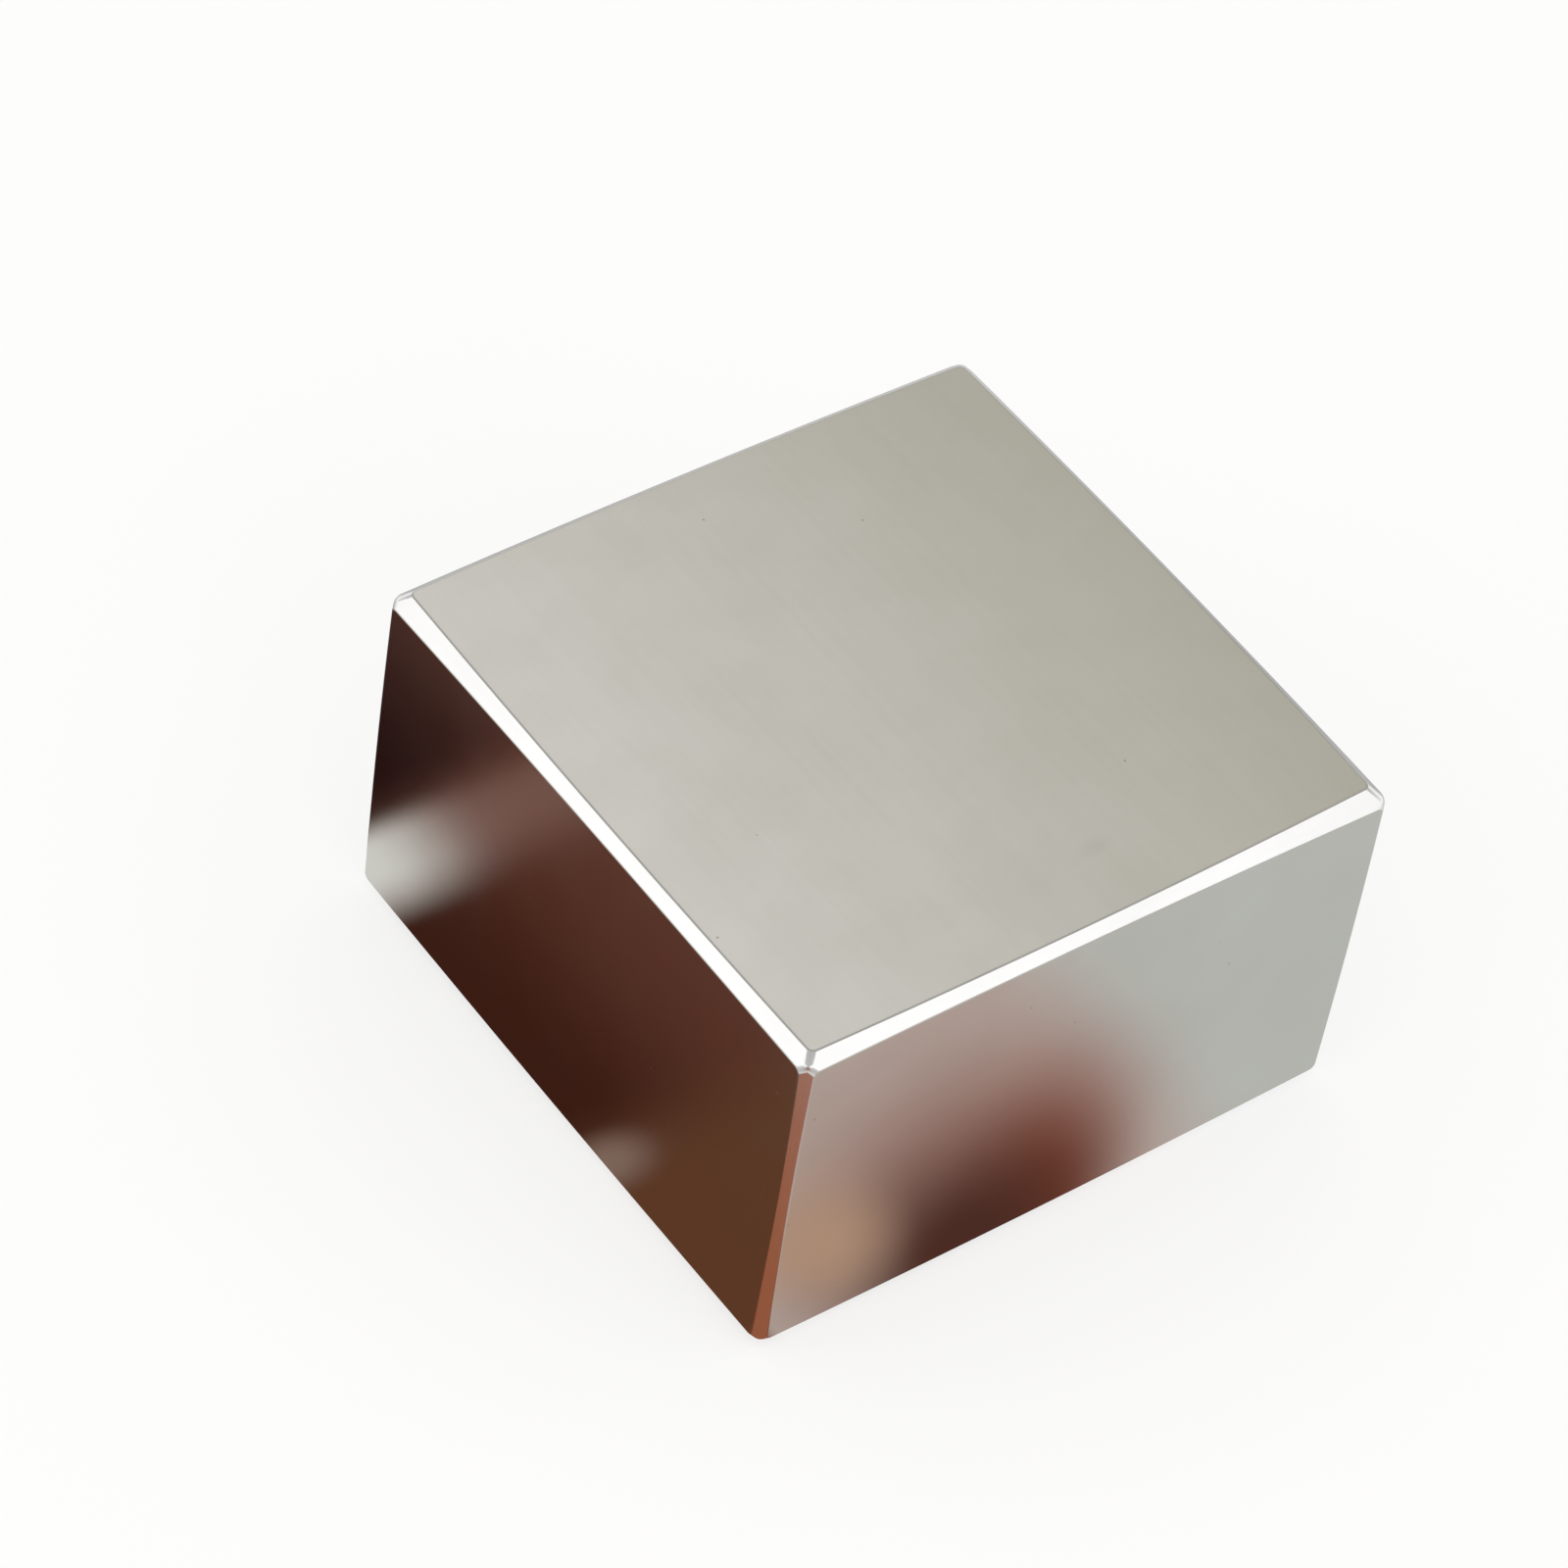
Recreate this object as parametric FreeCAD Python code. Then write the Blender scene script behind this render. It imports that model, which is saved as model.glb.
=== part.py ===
"""Block magnet: one sintered, ground and nickel-plated block, all of one piece.

Millimetres, +Z up, origin at the centre of the lower pole face. The two pole faces are square and lie
level, one at the bottom and one at the top. -Y is the front side, and +X is the right side.

All twelve edges are ground off at 45 degrees, freehand, so a chamfer is narrowest at the middle of its
edge and widens towards the corners, where three of them meet in a point. Tumbling before the plating
then rounds every line a little, and the short lines at the corners most.
"""

import FreeCAD
import Part
import math
import os

from FreeCAD import Vector

# The block's own sizes
pole_side = 50.0
thickness = 30.0

# Legs of the chamfer round each pole face: at the middle of an edge, and at each corner of the block
pole_leg_middle = 0.8
pole_leg_front_left = 1.0
pole_leg_front_right = 1.3
pole_leg_back_left = 1.15
pole_leg_back_right = 1.15

# Legs of the chamfer on the four upright edges
upright_leg_middle = 0.6
upright_leg_ends = 0.8

# Radius that tumbling and plating leave on the long lines, and on the short ones at the corners
long_line_rounding = 0.25
corner_line_rounding = 0.7

half_side = pole_side / 2
largest_leg = max(pole_leg_middle, pole_leg_front_left, pole_leg_front_right, pole_leg_back_left,
                  pole_leg_back_right, upright_leg_middle, upright_leg_ends)

# A grinding cut runs this far past the block at each end and to each side
run_out = 2 * largest_leg

# Lines shorter than this are the ones at the corners, where chamfer meets chamfer
corner_reach = 2 * largest_leg

UP = Vector(0, 0, 1)

# The four corners of a pole face, going round, each with its direction from the axis and its chamfer leg
corners = [
    (Vector(-1, -1, 0), pole_leg_front_left),
    (Vector(1, -1, 0), pole_leg_front_right),
    (Vector(1, 1, 0), pole_leg_back_right),
    (Vector(-1, 1, 0), pole_leg_back_left),
]


def raw_block():
    """The block as it comes off the surface grinder, with sharp edges."""
    low_corner = Vector(-half_side, -half_side, 0)
    return Part.makeBox(pole_side, pole_side, thickness, low_corner)


def edge_cut(start, end, inward, leg_start, leg_middle, leg_end):
    """What one freehand grinding pass takes off the sharp edge from start to end.

    inward is the diagonal from the edge into the block. The ground surface is flat across the edge,
    and along it follows one long shallow arc through the three legs.
    """
    inward = Vector(inward).normalize()
    along = end - start
    length = along.Length
    along.normalize()
    across = along.cross(inward)
    middle = (start + end) * 0.5

    # Depth under the sharp edge, at a place given from -1 at the start to +1 at the end
    deep_start, deep_middle, deep_end = (leg / math.sqrt(2) for leg in (leg_start, leg_middle, leg_end))
    slope = (deep_end - deep_start) / 2
    crown = (deep_end + deep_start) / 2 - deep_middle

    def ground_point(place):
        depth = deep_middle + slope * place + crown * place**2
        return middle + along * (place * length / 2) + inward * depth

    past_end = 1 + 2 * run_out / length
    near, far = ground_point(-past_end), ground_point(past_end)
    outwards = inward * -run_out
    arc = Part.Arc(near, ground_point(0), far).toShape()
    outside = Part.makePolygon([far, far + outwards, near + outwards, near])
    profile = Part.Face(Part.Wire([arc, *outside.Edges]))
    profile.translate(across * -run_out)
    return profile.extrude(across * (2 * run_out))


def pole_edge_cuts():
    """The eight cuts round the two pole faces."""
    cuts = []
    for level, into in ((0, UP), (thickness, -UP)):
        for place in range(len(corners)):
            (here, leg_here), (there, leg_there) = corners[place - 1], corners[place]
            start = here * half_side + UP * level
            end = there * half_side + UP * level
            to_axis = (here + there) * -0.5
            cuts.append(edge_cut(start, end, to_axis + into, leg_here, pole_leg_middle, leg_there))
    return cuts


def upright_edge_cuts():
    """The four cuts on the upright edges."""
    cuts = []
    for corner, _ in corners:
        foot = corner * half_side
        cuts.append(edge_cut(foot, foot + UP * thickness, -corner,
                             upright_leg_ends, upright_leg_middle, upright_leg_ends))
    return cuts


def tumbled(ground):
    """The ground block with its lines rounded, all in one operation so that they run into each other."""
    document = FreeCAD.newDocument("magnet_block")
    sharp = document.addObject("Part::Feature", "ground_block")
    sharp.Shape = ground
    rounded = document.addObject("Part::Fillet", "tumbled_block")
    rounded.Base = sharp
    rounding = []
    for number, line in enumerate(ground.Edges, start=1):
        radius = corner_line_rounding if line.Length < corner_reach else long_line_rounding
        rounding.append((number, radius, radius))
    rounded.Edges = rounding
    document.recompute()
    return rounded.Shape


def magnet_block():
    """The finished block: ground, chamfered and tumbled."""
    return tumbled(raw_block().cut(pole_edge_cuts() + upright_edge_cuts()))


os.makedirs("parts", exist_ok=True)
block = magnet_block()
block.exportStep("parts/magnet_block.step")

box = block.optimalBoundingBox()
print(f"magnet_block: valid {block.isValid()}, {len(block.Solids)} solid, {len(block.Faces)} faces, "
      f"{block.Volume / 1000:.3f} cm3, {box.XLength:.3f} x {box.YLength:.3f} x {box.ZLength:.3f} mm")
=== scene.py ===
"""Block magnet: the plated block in its finish, on a pale studio floor. Metres, +Z up."""

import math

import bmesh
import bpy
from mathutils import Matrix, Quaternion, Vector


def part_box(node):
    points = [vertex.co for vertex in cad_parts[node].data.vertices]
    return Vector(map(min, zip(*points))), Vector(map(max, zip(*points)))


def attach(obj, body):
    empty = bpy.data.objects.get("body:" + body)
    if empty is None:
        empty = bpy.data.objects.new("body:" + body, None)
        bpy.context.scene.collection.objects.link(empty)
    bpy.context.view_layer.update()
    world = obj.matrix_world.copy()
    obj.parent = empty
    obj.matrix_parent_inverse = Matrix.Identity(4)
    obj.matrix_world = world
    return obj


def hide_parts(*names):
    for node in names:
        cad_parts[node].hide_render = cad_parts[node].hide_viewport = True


bl_info = {
    "name": "Block magnet",
    "version": (1, 0, 0),
    "blender": (4, 5, 0),
    "location": "3D View > Sidebar > Magnet",
    "description": "Models a nickel-plated block magnet, ground freehand on all its edges, and its studio",
    "category": "Object",
}

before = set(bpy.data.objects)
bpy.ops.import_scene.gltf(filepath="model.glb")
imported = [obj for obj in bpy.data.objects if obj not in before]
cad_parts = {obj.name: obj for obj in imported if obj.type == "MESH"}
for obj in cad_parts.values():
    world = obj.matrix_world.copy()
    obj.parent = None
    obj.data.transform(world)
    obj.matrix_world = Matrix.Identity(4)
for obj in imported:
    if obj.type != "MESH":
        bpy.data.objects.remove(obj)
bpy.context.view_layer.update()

MM = 0.001
UP = Vector((0, 0, 1))
WHITE = (1, 1, 1)

# The block's place and size, from the frame
low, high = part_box("magnet_block")
centre = (low + high) / 2
half_size = (high - low) / 2

# Two points nearer than this are one point
SAME_PLACE = 0.0005 * MM

# A face whose normal is nearer to an axis than this is one of the six sides
SIDE_TILT = math.radians(5)

# Two ground faces turn by more than this where they meet, and the flats of one chamfer by far less
LINE_TURN = math.radians(30)

# A faint smudge lies here, near the front edge of the upper pole face
SMUDGE = Vector((3.4 * MM, -18.7 * MM, high.z))

# Cards that only reflections show: one overhead, a round one on the floor, and a low wall round that one
OVERHEAD_PLACE = Vector((175 * MM, 180 * MM, 230 * MM))
OVERHEAD_WIDTH = 260 * MM
OVERHEAD_DEPTH = 270 * MM
CARD_RADIUS = 110 * MM
CARD_LIFT = 0.05 * MM
WALL_HEIGHT = 58 * MM

# Tones of the overhead card
OVERHEAD_WHITE = (1.0, 1.0, 1.03)
OLIVE_GREY = (0.355, 0.36, 0.26)

# Tones of the floor card: greys, the warm ones in front, the warm ones on the left, and the corner's
NEAR_GREY = (0.67, 0.70, 0.71)
SHADED_GREY = (0.34, 0.34, 0.34)
FAR_GREY = (0.60, 0.61, 0.61)
RIM_GREY = (0.80, 0.81, 0.82)
ROSE_GREY = (0.64, 0.53, 0.51)
DUSTY_RED = (0.42, 0.235, 0.21)
BRICK_RED = (0.29, 0.075, 0.045)
DARK_BROWN = (0.10, 0.035, 0.026)
BEIGE = (0.62, 0.40, 0.29)
DEEP_BROWN = (0.06, 0.015, 0.008)
RED_BROWN = (0.135, 0.042, 0.026)
TAN_BROWN = (0.15, 0.058, 0.028)
BROWN_BLACK = (0.02, 0.003, 0.003)
GREY_BROWN = (0.29, 0.19, 0.16)
GAP_BROWN = (0.24, 0.12, 0.10)
GAP_WHITE = (0.86, 0.88, 0.88)
COPPER = (0.32, 0.10, 0.045)

# Tones of the low wall
WALL_SHADE = (0.42, 0.42, 0.42)
WALL_LIGHT = (0.95, 0.95, 0.95)
WALL_BROWN = (0.30, 0.13, 0.085)
STRIPE_WHITE = (1.30, 1.30, 1.33)

# The softboxes
SOFTBOX_DISTANCE = 440 * MM
SOFTBOX_WIDTH = 560 * MM
SOFTBOX_HEIGHT = 150 * MM
SOFTBOX_BRIGHTNESS = 0.61
SOFTBOX_COLOUR = (0.98, 0.98, 1.0)

# The floor's side, and how much of it is plain white to the camera: the rest keeps the block's shadow
FLOOR_SIDE = 8.0
FLOOR_WHITENESS = 0.7

# What the world is overhead to metal, and to whatever else it lights
SKY_GREY = (0.50, 0.50, 0.50)
DAYLIGHT = (0.97, 0.96, 0.92)


def length(name, description, default):
    """A size that a user may change."""
    return bpy.props.FloatProperty(
        name=name, description=description, default=default, subtype="DISTANCE", unit="LENGTH", precision=5)


def share(name, description, default):
    """A number from 0 to 1 that a user may change."""
    return bpy.props.FloatProperty(
        name=name, description=description, default=default, min=0.0, max=1.0, subtype="FACTOR")


def colour(name, description, default):
    """A colour that a user may change."""
    return bpy.props.FloatVectorProperty(
        name=name, description=description, default=default, min=0.0, max=1.0, subtype="COLOR", size=3)


def point(name, description, default):
    """A place that a user may change."""
    return bpy.props.FloatVectorProperty(
        name=name, description=description, default=default, subtype="TRANSLATION", unit="LENGTH", size=3)


class MagnetShape(bpy.types.PropertyGroup):
    """Sizes of the chamfers and of the rounding of their lines."""

    pole_leg_middle: length("Pole chamfer, middle", "Its leg at the middle of an edge", 0.8 * MM)
    pole_leg_front_left: length("Pole chamfer, front left", "Its leg at the front left corner", 1.0 * MM)
    pole_leg_front_right: length("Pole chamfer, front right", "Its leg at the front right corner", 1.3 * MM)
    pole_leg_back_right: length("Pole chamfer, back right", "Its leg at the back right corner", 1.15 * MM)
    pole_leg_back_left: length("Pole chamfer, back left", "Its leg at the back left corner", 1.15 * MM)
    upright_leg_middle: length("Upright chamfer, middle", "Its leg half way up", 0.6 * MM)
    upright_leg_ends: length("Upright chamfer, ends", "Its leg at its two ends", 0.8 * MM)
    long_line_rounding: length("Rounding, long lines", "Radius on the lines along the faces", 0.25 * MM)
    corner_line_rounding: length("Rounding, corners", "Radius on the short lines at the corners", 0.7 * MM)
    flats: bpy.props.IntProperty(
        name="Flats", description="Flats that the arc of one chamfer is made of", default=11, min=3)


class MagnetFinish(bpy.types.PropertyGroup):
    """The plating's colours, the highlight painted on the chamfers, and how finely it mirrors."""

    nickel: colour("Nickel", "Colour of the clean plating", (0.66, 0.64, 0.585))
    dull_nickel: colour("Dull nickel", "Colour where the plating is a little dull", (0.62, 0.60, 0.54))
    # Painted highlight: the chamfers get a colour lighter than the plating's, so that they show as white
    # strips
    chamfer_painted_highlight: colour("Chamfer", "Colour of the chamfers, lighter than the plating as a painted highlight", (0.85, 0.845, 0.83))
    pinhole: colour("Pinhole", "Colour in the pinholes of the plating", (0.30, 0.27, 0.23))
    face_roughness: share("Roughness, faces", "How much the flat faces blur what they mirror", 0.19)
    chamfer_roughness: share("Roughness, chamfers", "How much the chamfers blur what they mirror", 0.22)


class MagnetStudio(bpy.types.PropertyGroup):
    """Floor and camera."""

    floor: colour("Floor", "Colour of the floor", (0.93, 0.93, 0.93))
    camera_place: point("Camera", "Where the camera stands", (-216.9 * MM, -227.2 * MM, 348.5 * MM))
    camera_aim: point("Aim", "The point at the middle of the picture", (-1.95 * MM, 6.93 * MM, 15.0 * MM))
    camera_roll: bpy.props.FloatProperty(
        name="Roll", description="How far the camera is turned about its own line of sight",
        default=math.radians(9.66), subtype="ANGLE", unit="ROTATION")
    camera_lens: bpy.props.FloatProperty(
        name="Lens", description="Focal length for a sensor 36 mm wide",
        default=149.4, subtype="DISTANCE_CAMERA")


class Signal:
    """One output of a node. Arithmetic on it adds the Math nodes that work the result out."""

    def __init__(self, bench, socket):
        self.bench = bench
        self.socket = socket

    def output(self, name):
        """Another output of the same node."""
        return Signal(self.bench, self.socket.node.outputs[name])

    def math(self, operation, *others):
        """This signal, and others after it, through one Math node."""
        return self.bench.add("ShaderNodeMath", {"operation": operation}, dict(enumerate((self, *others))))

    def __add__(self, other):
        return self.math("ADD", other)

    def __sub__(self, other):
        return self.math("SUBTRACT", other)

    def __rsub__(self, other):
        return self.bench.add("ShaderNodeMath", {"operation": "SUBTRACT"}, {0: other, 1: self})

    def __mul__(self, other):
        return self.math("MULTIPLY", other)

    def __abs__(self):
        return self.math("ABSOLUTE")

    __radd__ = __add__
    __rmul__ = __mul__


class NodeBench:
    """A node tree that is being filled."""

    def __init__(self, tree):
        self.tree = tree
        tree.nodes.clear()

    def add(self, kind, settings=None, sockets=None, output=0):
        """Adds a node: its settings come first, then the values or signals of its sockets."""
        node = self.tree.nodes.new(kind)
        for name, value in (settings or {}).items():
            setattr(node, name, value)
        for name, value in (sockets or {}).items():
            socket = node.inputs[name]
            if isinstance(value, Signal):
                self.tree.links.new(value.socket, socket)
            elif socket.type == "RGBA":
                socket.default_value = (*value, 1.0)
            else:
                socket.default_value = value
        return Signal(self, node.outputs[output]) if node.outputs else None

    def smooth(self, value, start, end):
        """Goes smoothly from 0 to 1 while value goes from start to end."""
        sockets = {"Value": value, "From Min": start, "From Max": end}
        return self.add("ShaderNodeMapRange", {"interpolation_type": "SMOOTHSTEP"}, sockets)

    def mix(self, share_of_second, first, second):
        """A blend of two colours."""
        sockets = {0: share_of_second, 6: first, 7: second}
        return self.add("ShaderNodeMix", {"data_type": "RGBA"}, sockets, output=2)

    def stretched(self, place, scale):
        """Places scaled along each axis, in features for each metre."""
        return self.add("ShaderNodeVectorMath", {"operation": "MULTIPLY"}, {0: place, 1: scale})

    def noise(self, place, scale=1.0, detail=2.0):
        """Soft cloudy noise from 0 to 1."""
        return self.add("ShaderNodeTexNoise", None, {"Vector": place, "Scale": scale, "Detail": detail})


def raw_block():
    """The block as it comes off the surface grinder, with sharp edges."""
    bpy.ops.object.select_all(action="DESELECT")
    bpy.ops.mesh.primitive_cube_add(size=1, location=centre, scale=2 * half_size)
    block = bpy.context.active_object
    block.name = block.data.name = "plated_block"
    bpy.ops.object.transform_apply(location=True, rotation=True, scale=True)
    return block


def grind_edge(start, end, inward, legs, flats):
    """Grinds one edge away in flats along a shallow arc, which cuts deepest at the ends of the edge.

    inward is the diagonal from the edge into the block. legs are the chamfer's at the start, at the
    middle and at the end.
    """
    inward = inward.normalized()
    middle = (start + end) / 2
    half_way = (end - start) / 2
    deep_start, deep_middle, deep_end = (leg / math.sqrt(2) for leg in legs)
    slope = (deep_end - deep_start) / 2
    crown = (deep_end + deep_start) / 2 - deep_middle
    for flat in range(flats):
        place = (2 * flat + 1) / flats - 1
        depth = deep_middle + slope * place + crown * place**2
        fall = (slope + 2 * crown * place) / half_way.length
        bpy.ops.mesh.select_all(action="SELECT")
        bpy.ops.mesh.bisect(
            plane_co=middle + half_way * place + inward * depth,
            plane_no=half_way.normalized() * fall - inward,
            use_fill=True, clear_outer=True, threshold=SAME_PLACE)


def grind_all_edges(shape):
    """The eight chamfers round the pole faces and the four upright ones."""
    corners = [
        (Vector((-1, -1, 0)), shape.pole_leg_front_left),
        (Vector((1, -1, 0)), shape.pole_leg_front_right),
        (Vector((1, 1, 0)), shape.pole_leg_back_right),
        (Vector((-1, 1, 0)), shape.pole_leg_back_left),
    ]
    upright_legs = (shape.upright_leg_ends, shape.upright_leg_middle, shape.upright_leg_ends)
    bpy.ops.object.mode_set(mode="EDIT")
    for place, (there, leg_there) in enumerate(corners):
        here, leg_here = corners[place - 1]
        pole_legs = (leg_here, shape.pole_leg_middle, leg_there)
        for level in (-UP, UP):
            start = centre + (here + level) * half_size
            end = centre + (there + level) * half_size
            grind_edge(start, end, -(here + there) / 2 - level, pole_legs, shape.flats)
        foot = centre + (there - UP) * half_size
        head = centre + (there + UP) * half_size
        grind_edge(foot, head, -there, upright_legs, shape.flats)
    bpy.ops.mesh.select_all(action="SELECT")
    bpy.ops.mesh.remove_doubles(threshold=SAME_PLACE)
    bpy.ops.mesh.normals_make_consistent(inside=False)
    bpy.ops.object.mode_set(mode="OBJECT")


def is_side(face):
    """Whether a face is one of the six sides and not part of a chamfer."""
    return max(abs(part) for part in face.normal) > math.cos(SIDE_TILT)


def select_lines(block, at_corners):
    """Selects the short lines at the corners, or else those round the six sides."""
    bpy.ops.mesh.select_all(action="DESELECT")
    mesh = bmesh.from_edit_mesh(block.data)
    for line in mesh.edges:
        beside_a_side = any(is_side(face) for face in line.link_faces)
        if line.calc_face_angle() > LINE_TURN and beside_a_side != at_corners:
            line.select_set(True)
    bmesh.update_edit_mesh(block.data)


def round_off(radius, turn, segments):
    """Rounds the selected lines, where the faces beside them turn by about the given angle."""
    reach = radius * math.tan(math.radians(turn / 2))
    bpy.ops.mesh.bevel(offset_type="OFFSET", offset=reach, segments=segments, loop_slide=True)


def tumble(block, shape):
    """Rounds every line between two faces as tumbling does, and the short lines at the corners most."""
    bpy.ops.object.mode_set(mode="EDIT")
    bpy.ops.mesh.select_mode(type="EDGE")
    select_lines(block, at_corners=True)
    round_off(shape.corner_line_rounding, turn=60, segments=6)
    select_lines(block, at_corners=False)
    round_off(shape.long_line_rounding, turn=45, segments=4)
    bpy.ops.object.mode_set(mode="OBJECT")

    bpy.ops.object.shade_smooth()
    bpy.ops.object.modifier_add(type="WEIGHTED_NORMAL")
    bpy.ops.object.modifier_apply(modifier=block.modifiers[-1].name)


def nickel_plating(finish):
    """Bright, softly mirroring nickel with faint clouds and pinholes, over the marks of the grinding, and a
    highlight painted on the chamfers.
    """
    material = bpy.data.materials.new("nickel_plating")
    material.use_nodes = True
    bench = NodeBench(material.node_tree)
    place = bench.add("ShaderNodeTexCoord", output="Object")
    along_x = bench.add("ShaderNodeSeparateXYZ", None, {"Vector": place})
    along_y, along_z = along_x.output("Y"), along_x.output("Z")

    # How far a point lies in from the block's sides on each axis: on a chamfer all three are above zero
    in_x = half_size.x - abs(along_x - centre.x)
    in_y = half_size.y - abs(along_y - centre.y)
    in_z = half_size.z - abs(along_z - centre.z)
    nearest = in_x.math("MINIMUM", in_y).math("MINIMUM", in_z)
    chamfer = bench.smooth(nearest, 0.02 * MM, 0.06 * MM)
    pole_face = 1 - bench.smooth(in_z, 0.01 * MM, 0.03 * MM)

    # Clouds in the plating, one kind about 18 mm across and one about 5 mm
    cloud = bench.smooth(bench.noise(place, 55), 0.35, 0.65)
    small_cloud = bench.smooth(bench.noise(place, 210, detail=3.0), 0.3, 0.7)
    dullness = cloud * 0.6 + small_cloud * 0.4

    # The surface grinder leaves streaks along Y on the pole faces, about 40 mm long and 0.7 mm wide
    streak = bench.noise(bench.stretched(place, (1400, 25, 1400)), detail=3.0)
    streaks = (streak - 0.5) * pole_face

    # A pinhole shows where a point of this pattern lies right at the surface
    spots = bench.add("ShaderNodeTexVoronoi", None, {"Vector": place, "Scale": 260.0}, output="Distance")
    pinhole = 1 - bench.smooth(spots, 0.010, 0.030)

    # The smudge is an uneven oval of 3.6 by 2 mm
    from_smudge = bench.add("ShaderNodeVectorMath", {"operation": "SUBTRACT"}, {0: place, 1: SMUDGE})
    oval = bench.stretched(from_smudge, (550, 1000, 400))
    smudge_distance = bench.add("ShaderNodeVectorMath", {"operation": "LENGTH"}, {0: oval}, output="Value")
    smudge = (1 - bench.smooth(smudge_distance, 0.2, 1.0)) * bench.noise(place, 900)

    # Belt marks, 7 mm long and 0.14 mm wide, run along each chamfer: one fine pattern is drawn out along
    # the axis that the edge follows
    fine, drawn = 7000, 150
    stretch = bench.add("ShaderNodeCombineXYZ", None, {
        axis: fine - (fine - drawn) * gap.math("GREATER_THAN", 2 * MM)
        for axis, gap in (("X", in_x), ("Y", in_y), ("Z", in_z))})
    belt_marks = bench.noise(bench.stretched(place, stretch), detail=3.0)

    bright = bench.mix(dullness * 0.8 + streaks * 0.5, finish.nickel, finish.dull_nickel)
    # Painted highlight: the chamfers take a lighter colour than the faces, so that they shine as bright
    # strips
    bright = bench.mix(chamfer, bright, finish.chamfer_painted_highlight)
    marked = bench.mix(pinhole * 0.7 + smudge * 0.13, bright, finish.pinhole)

    face_blur = finish.face_roughness - 0.02 + dullness * 0.04 + streaks * 0.05
    more_blur = finish.chamfer_roughness - finish.face_roughness
    chamfer_blur = more_blur * chamfer + belt_marks * chamfer * 0.06
    roughness = face_blur + chamfer_blur + pinhole * 0.2 + smudge * 0.08

    # Heights in metres: shallow waves 9 mm long, grain of 0.2 mm, the marks of grinding, and the pinholes
    waves = bench.noise(place, 110, detail=1.0) * (6e-3 * MM)
    grain = bench.noise(place, 6000, detail=2.0) * (0.25e-3 * MM)
    grinding = streaks * (0.3e-3 * MM) + belt_marks * chamfer * (0.8e-3 * MM)
    height = waves + grain + grinding - pinhole * (4e-3 * MM)
    bump = bench.add("ShaderNodeBump", None, {"Height": height, "Distance": 1.0, "Strength": 1.0})

    metal = bench.add("ShaderNodeBsdfPrincipled", None, {
        "Base Color": marked, "Metallic": 1.0, "Roughness": roughness, "Normal": bump})
    bench.add("ShaderNodeOutputMaterial", None, {"Surface": metal})
    return material


def glow(name, tone_at):
    """A material that shines evenly to all sides, with a colour that depends on the place."""
    material = bpy.data.materials.new(name)
    material.use_nodes = True
    bench = NodeBench(material.node_tree)
    place = bench.add("ShaderNodeTexCoord", output="Object")
    across = bench.add("ShaderNodeSeparateXYZ", None, {"Vector": place})
    tone = tone_at(bench, across, across.output("Y"), across.output("Z"))
    shine = bench.add("ShaderNodeEmission", None, {"Color": tone, "Strength": 1.0})
    bench.add("ShaderNodeOutputMaterial", None, {"Surface": shine})
    return material


def finish_card(name, tone_at):
    """Names the card that was just added, makes it glow, and hides it from all but reflections."""
    bpy.ops.object.transform_apply(location=True, rotation=True, scale=True)
    card = bpy.context.active_object
    card.name = name
    card.data.materials.append(glow(name, tone_at))
    card.visible_camera = False
    card.visible_diffuse = False
    card.visible_transmission = False
    card.visible_volume_scatter = False
    card.visible_shadow = False


def patch(bench, x, y, middle, reach, turn=0.0):
    """A soft oval, 1 at its middle and 0 from its reach on. Sizes in millimetres, turn in degrees."""
    off_x = x - middle[0] * MM
    off_y = y - middle[1] * MM
    cosine = math.cos(math.radians(turn))
    sine = math.sin(math.radians(turn))
    along = (off_x * cosine + off_y * sine) * (1 / (reach[0] * MM))
    across = (off_y * cosine - off_x * sine) * (1 / (reach[1] * MM))
    return 1 - bench.smooth((along * along + across * across).math("SQRT"), 0.1, 1.0)


def overhead_tone(bench, x, y, z):
    """The overhead card is white on the left, and darker and warmer on the right."""
    limits = {"Value": x, "From Min": 70 * MM, "From Max": 250 * MM}
    rightwards = bench.add("ShaderNodeMapRange", None, limits)
    return bench.mix(rightwards, OVERHEAD_WHITE, OLIVE_GREY)


def front_tone(bench, x, y, backdrop):
    """In front the card is grey on the right, and has dark and light warm patches close to the block."""
    tone = bench.mix(bench.smooth(x, 19.5 * MM, 8 * MM), backdrop, ROSE_GREY)
    tone = bench.mix(patch(bench, x, y, (-2.4, -31.9), (25, 11.5), -10), tone, DUSTY_RED)
    tone = bench.mix(patch(bench, x, y, (-0.3, -25.9), (8, 19.5), 54), tone, BRICK_RED)
    tone = bench.mix(patch(bench, x, y, (-6.6, -25.9), (19.6, 10.1), -15), tone, DARK_BROWN)
    return bench.mix(patch(bench, x, y, (-15.4, -31), (9, 6.8), -21), tone, BEIGE)


def left_tone(bench, x, y):
    """On the left the card is brown, blackish at its back end, with a light gap in front of that."""
    away = 0 - x
    brown = bench.mix(bench.smooth(away, 27 * MM, 42 * MM), DEEP_BROWN, RED_BROWN)
    brown = bench.mix(bench.smooth(y, 0.0, -10 * MM), brown, TAN_BROWN)
    black = bench.smooth(y, 27 * MM, 33 * MM) * bench.smooth(away, 52 * MM, 34 * MM)
    brown = bench.mix(black, brown, BROWN_BLACK)
    brown = bench.mix(patch(bench, x, y, (-26, -6), (5, 3.5)), brown, GREY_BROWN)
    gap = bench.smooth(y, 19 * MM, 25 * MM) * bench.smooth(y, 30 * MM, 27 * MM)
    brown = bench.mix(gap, brown, GAP_BROWN)
    return bench.mix(gap * bench.smooth(away, 36 * MM, 27 * MM), brown, GAP_WHITE)


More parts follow.
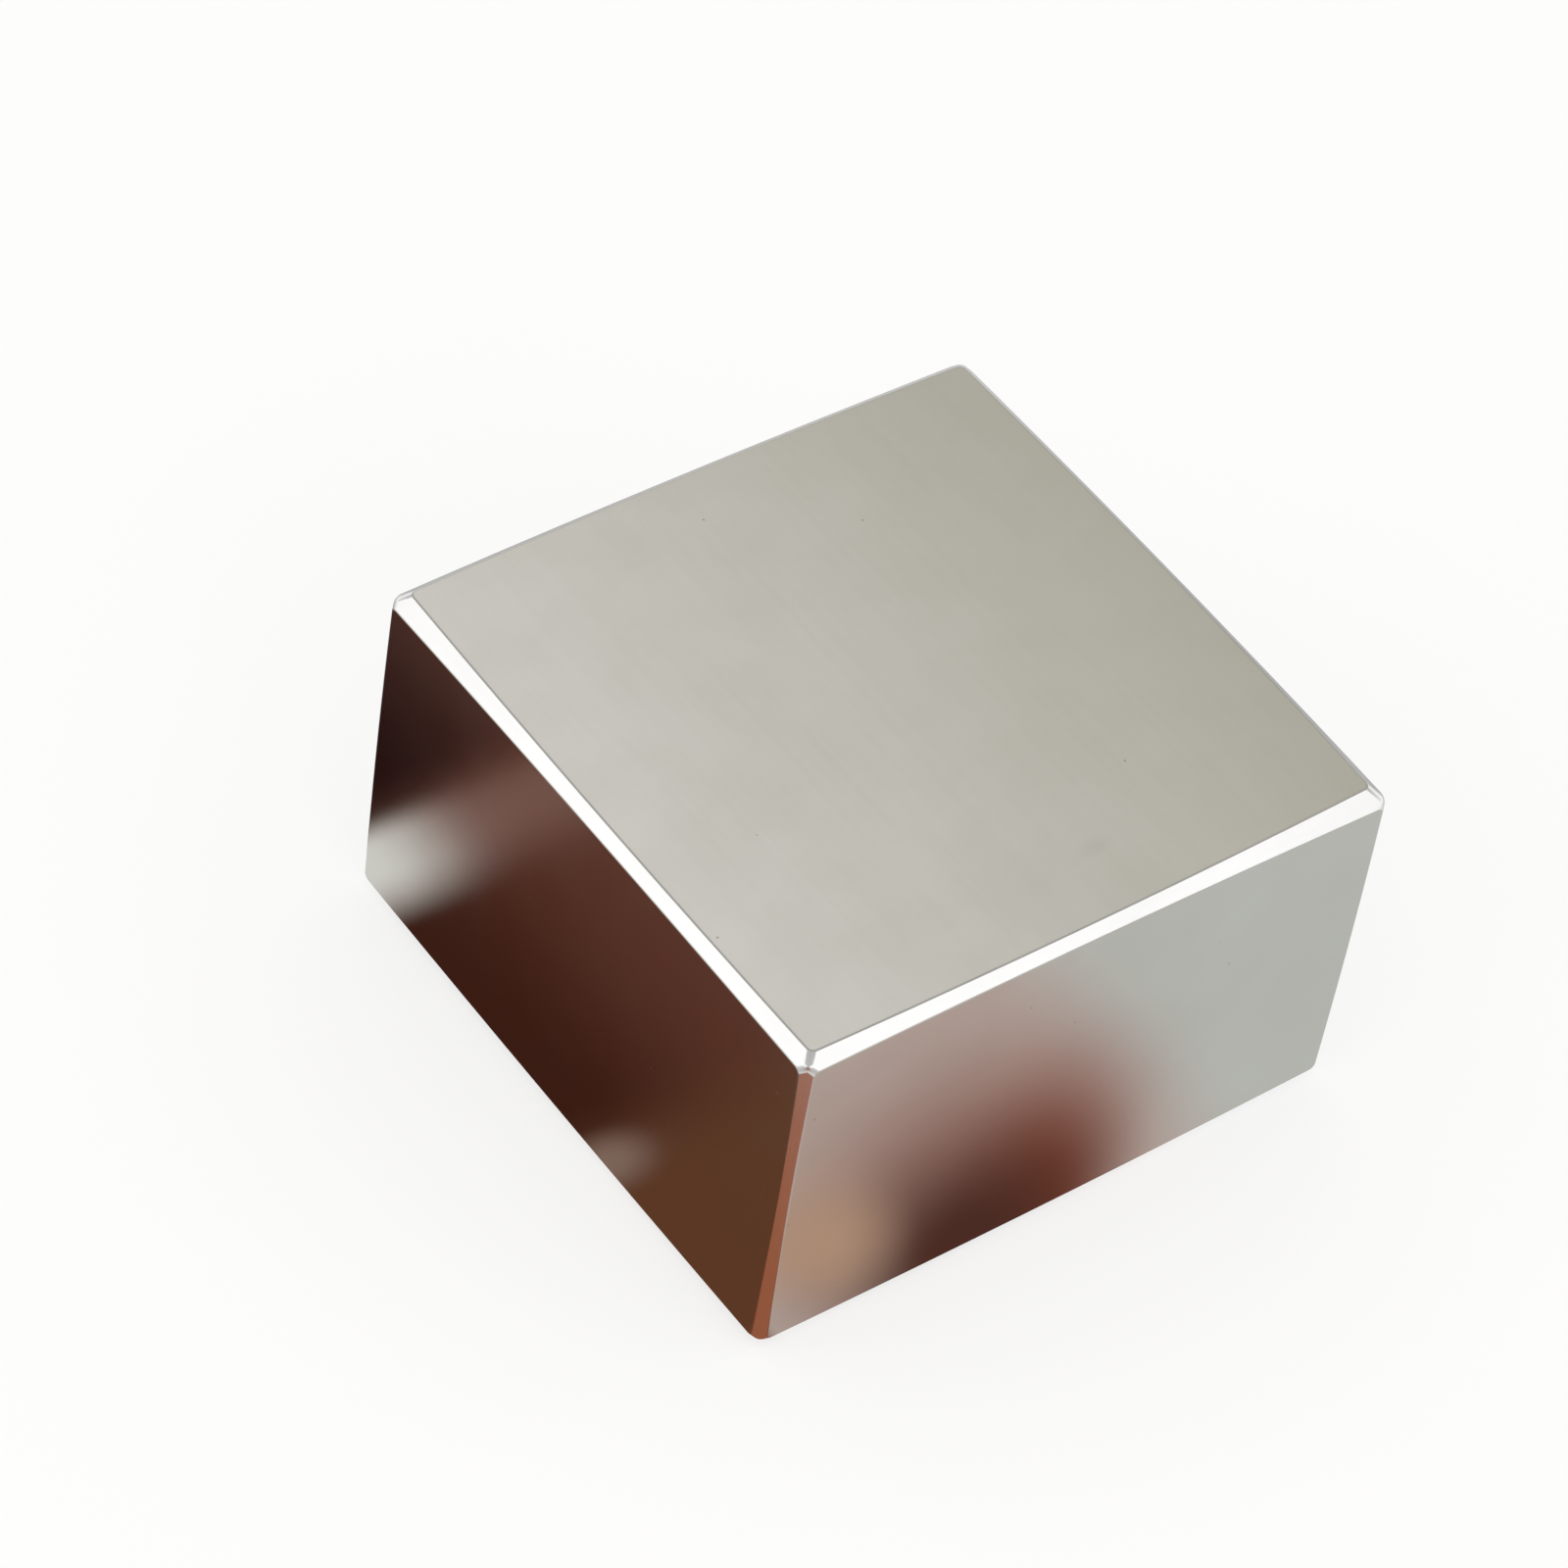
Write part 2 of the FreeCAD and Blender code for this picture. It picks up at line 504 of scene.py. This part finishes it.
def floor_card_tone(bench, x, y, z):
    """The floor card is grey, darker behind the block, and warm close to its left and front sides."""
    backdrop = bench.mix(bench.smooth(x + y, 20 * MM, 80 * MM), NEAR_GREY, SHADED_GREY)
    leftwards = bench.smooth(x, -22.5 * MM, -25 * MM)
    frontwards = bench.smooth(y, -22.5 * MM, -25 * MM)
    tone = bench.mix(frontwards, backdrop, front_tone(bench, x, y, backdrop))
    tone = bench.mix(leftwards * bench.smooth(x - y, 5 * MM, 2 * MM), tone, left_tone(bench, x, y))

    # The upright chamfer at the front left corner mirrors a band that runs straight out from it
    band = bench.smooth(abs(x - y), 12 * MM, 7 * MM)
    tone = bench.mix(leftwards * frontwards * band, tone, COPPER)

    # Further out on the left and in front it is grey again, as are the sides that mirror it there
    far_out = bench.smooth(x.math("MINIMUM", y), -53 * MM, -63 * MM)
    tone = bench.mix(far_out, tone, FAR_GREY)
    distance = (x * x + y * y).math("SQRT")
    return bench.mix(bench.smooth(distance, 64 * MM, 108 * MM), tone, RIM_GREY)


def wall_tone(bench, x, y, z):
    """The wall is grey in uneven shades, brown at the front left, with a white stripe on two sides."""
    round_it = bench.add("ShaderNodeCombineXYZ", None, {"X": x, "Y": y})
    shade = bench.smooth(bench.noise(bench.stretched(round_it, (9, 9, 9))), 0.35, 0.65)
    tone = bench.mix(shade, WALL_SHADE, WALL_LIGHT)
    front_left = bench.smooth(x, -50 * MM, -62 * MM) * bench.smooth(y, -50 * MM, -62 * MM)
    tone = bench.mix(front_left * bench.smooth(z, 10 * MM, 18 * MM), tone, WALL_BROWN)

    # The stripe is at the back left and front right, where the roundings under two chamfers mirror it
    sideways = bench.smooth(abs(x - y), 80 * MM, 110 * MM)
    stripe = bench.smooth(z, 31 * MM, 34 * MM) * bench.smooth(z, 50 * MM, 44 * MM)
    return bench.mix(sideways * stripe, tone, STRIPE_WHITE)


def reflected_cards():
    """The cards that the nickel mirrors."""
    bpy.ops.mesh.primitive_plane_add(size=1, location=OVERHEAD_PLACE)
    bpy.context.active_object.scale = (OVERHEAD_WIDTH, OVERHEAD_DEPTH, 1)
    finish_card("overhead_card", overhead_tone)

    card_place = (centre.x, centre.y, low.z + CARD_LIFT)
    bpy.ops.mesh.primitive_circle_add(
        vertices=64, radius=CARD_RADIUS, fill_type="NGON", location=card_place)
    finish_card("floor_card", floor_card_tone)

    wall_place = (centre.x, centre.y, low.z + WALL_HEIGHT / 2)
    bpy.ops.mesh.primitive_cylinder_add(
        vertices=64, radius=CARD_RADIUS, depth=WALL_HEIGHT, end_fill_type="NOTHING", location=wall_place)
    finish_card("low_wall", wall_tone)


def looking(place, aim, roll=0.0):
    """The turn that makes an object at a place look at the aim, with a roll about that line."""
    return ((aim - place).to_track_quat("-Z", "Y") @ Quaternion((0, 0, 1), roll)).to_euler()


def softbox(name, azimuth, elevation):
    """A soft light on the block from a direction in degrees. A chamfer mirrors it as an even white."""
    tilt = Quaternion((0, -1, 0), math.radians(elevation))
    towards = Quaternion(UP, math.radians(azimuth)) @ tilt @ Vector((1, 0, 0))
    place = centre + towards * SOFTBOX_DISTANCE
    bpy.ops.object.light_add(type="AREA", location=place, rotation=looking(place, centre))
    light = bpy.context.active_object
    light.name = name
    light.data.shape = "RECTANGLE"
    light.data.size = SOFTBOX_WIDTH
    light.data.size_y = SOFTBOX_HEIGHT

    # Power is brightness times four times the area, so the box is as bright at any size
    light.data.energy = SOFTBOX_BRIGHTNESS * 4 * light.data.size * light.data.size_y
    light.data.color = SOFTBOX_COLOUR
    light.visible_camera = False


def background_share(bench):
    """Whether the floor or world is looked at, straight, in metal or through glass."""
    path = bench.add("ShaderNodeLightPath", output="Is Camera Ray")
    seen = path.math("MAXIMUM", path.output("Is Glossy Ray"))
    return seen.math("MAXIMUM", path.output("Is Transmission Ray"))


def pale_floor(studio):
    """A pale floor that keeps the block's soft shadow."""
    bpy.ops.object.select_all(action="DESELECT")
    bpy.ops.mesh.primitive_plane_add(size=FLOOR_SIDE, location=(centre.x, centre.y, low.z))
    ground = bpy.context.active_object
    ground.name = "floor"
    material = bpy.data.materials.new("floor")
    material.use_nodes = True
    bench = NodeBench(material.node_tree)
    lit = bench.add("ShaderNodeBsdfDiffuse", None, {"Color": studio.floor})
    white = bench.add("ShaderNodeEmission", None, {"Color": WHITE, "Strength": 1.0})
    whiteness = background_share(bench) * FLOOR_WHITENESS
    mixed = bench.add("ShaderNodeMixShader", None, {0: whiteness, 1: lit, 2: white})
    bench.add("ShaderNodeOutputMaterial", None, {"Surface": mixed})
    ground.data.materials.append(material)


def studio_world():
    """White behind the block, grey overhead where the metal mirrors it, and an even light on all else."""
    world = bpy.data.worlds.new("studio")
    world.use_nodes = True
    bpy.context.scene.world = world
    bench = NodeBench(world.node_tree)
    direction = bench.add("ShaderNodeTexCoord", output="Generated")
    upwards = bench.add("ShaderNodeSeparateXYZ", None, {"Vector": direction}, output="Z")

    # From white at the horizon to grey at 25 degrees up
    sky = bench.mix(bench.smooth(upwards, 0.02, 0.42), WHITE, SKY_GREY)
    in_metal = bench.add("ShaderNodeLightPath", output="Is Glossy Ray")
    seen = bench.mix(in_metal, WHITE, sky)
    tone = bench.mix(background_share(bench), DAYLIGHT, seen)
    shine = bench.add("ShaderNodeBackground", None, {"Color": tone, "Strength": 1.0})
    bench.add("ShaderNodeOutputWorld", None, {"Surface": shine})


def studio_camera(studio):
    """The photograph's camera."""
    place = Vector(studio.camera_place)
    turn = looking(place, Vector(studio.camera_aim), studio.camera_roll)
    bpy.ops.object.camera_add(location=place, rotation=turn)
    view = bpy.context.active_object
    view.data.sensor_width = 36
    view.data.lens = studio.camera_lens
    view.data.clip_start = 10 * MM
    bpy.context.scene.camera = view


class MAGNET_OT_plated_block(bpy.types.Operator):
    """Model the block, ground on all its edges, tumbled and nickel-plated"""

    bl_idname = "magnet.plated_block"
    bl_label = "Plated block"

    def execute(self, context):
        block = raw_block()
        grind_all_edges(context.scene.magnet_shape)
        tumble(block, context.scene.magnet_shape)
        block.data.materials.append(nickel_plating(context.scene.magnet_finish))
        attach(block, "root")
        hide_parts("magnet_block")
        return {"FINISHED"}


class MAGNET_OT_studio(bpy.types.Operator):
    """Set up the pale floor, the soft light and the camera"""

    bl_idname = "magnet.studio"
    bl_label = "Studio"

    def execute(self, context):
        pale_floor(context.scene.magnet_studio)
        studio_world()
        reflected_cards()
        softbox("left_softbox", azimuth=168, elevation=28)
        softbox("front_softbox", azimuth=280, elevation=30)
        studio_camera(context.scene.magnet_studio)
        context.scene.view_settings.view_transform = "Standard"
        return {"FINISHED"}


class MAGNET_PT_panel(bpy.types.Panel):
    """Lists the steps and what can be changed in them."""

    bl_label = "Block magnet"
    bl_idname = "MAGNET_PT_panel"
    bl_space_type = "VIEW_3D"
    bl_region_type = "UI"
    bl_category = "Magnet"

    def draw(self, context):
        column = self.layout.column()
        steps = (
            (MAGNET_OT_plated_block, (context.scene.magnet_shape, context.scene.magnet_finish)),
            (MAGNET_OT_studio, (context.scene.magnet_studio,)),
        )
        for operator, groups in steps:
            column.operator(operator.bl_idname)
            for group in groups:
                for name in group.__annotations__:
                    column.prop(group, name)


classes = (
    MagnetShape,
    MagnetFinish,
    MagnetStudio,
    MAGNET_OT_plated_block,
    MAGNET_OT_studio,
    MAGNET_PT_panel,
)


def register():
    for each in classes:
        bpy.utils.register_class(each)
    bpy.types.Scene.magnet_shape = bpy.props.PointerProperty(type=MagnetShape)
    bpy.types.Scene.magnet_finish = bpy.props.PointerProperty(type=MagnetFinish)
    bpy.types.Scene.magnet_studio = bpy.props.PointerProperty(type=MagnetStudio)


def unregister():
    del bpy.types.Scene.magnet_studio
    del bpy.types.Scene.magnet_finish
    del bpy.types.Scene.magnet_shape
    for each in reversed(classes):
        bpy.utils.unregister_class(each)


def main():
    """Models the block and sets up its studio."""
    register()
    bpy.ops.magnet.plated_block()
    bpy.ops.magnet.studio()


if __name__ == "__main__":
    main()
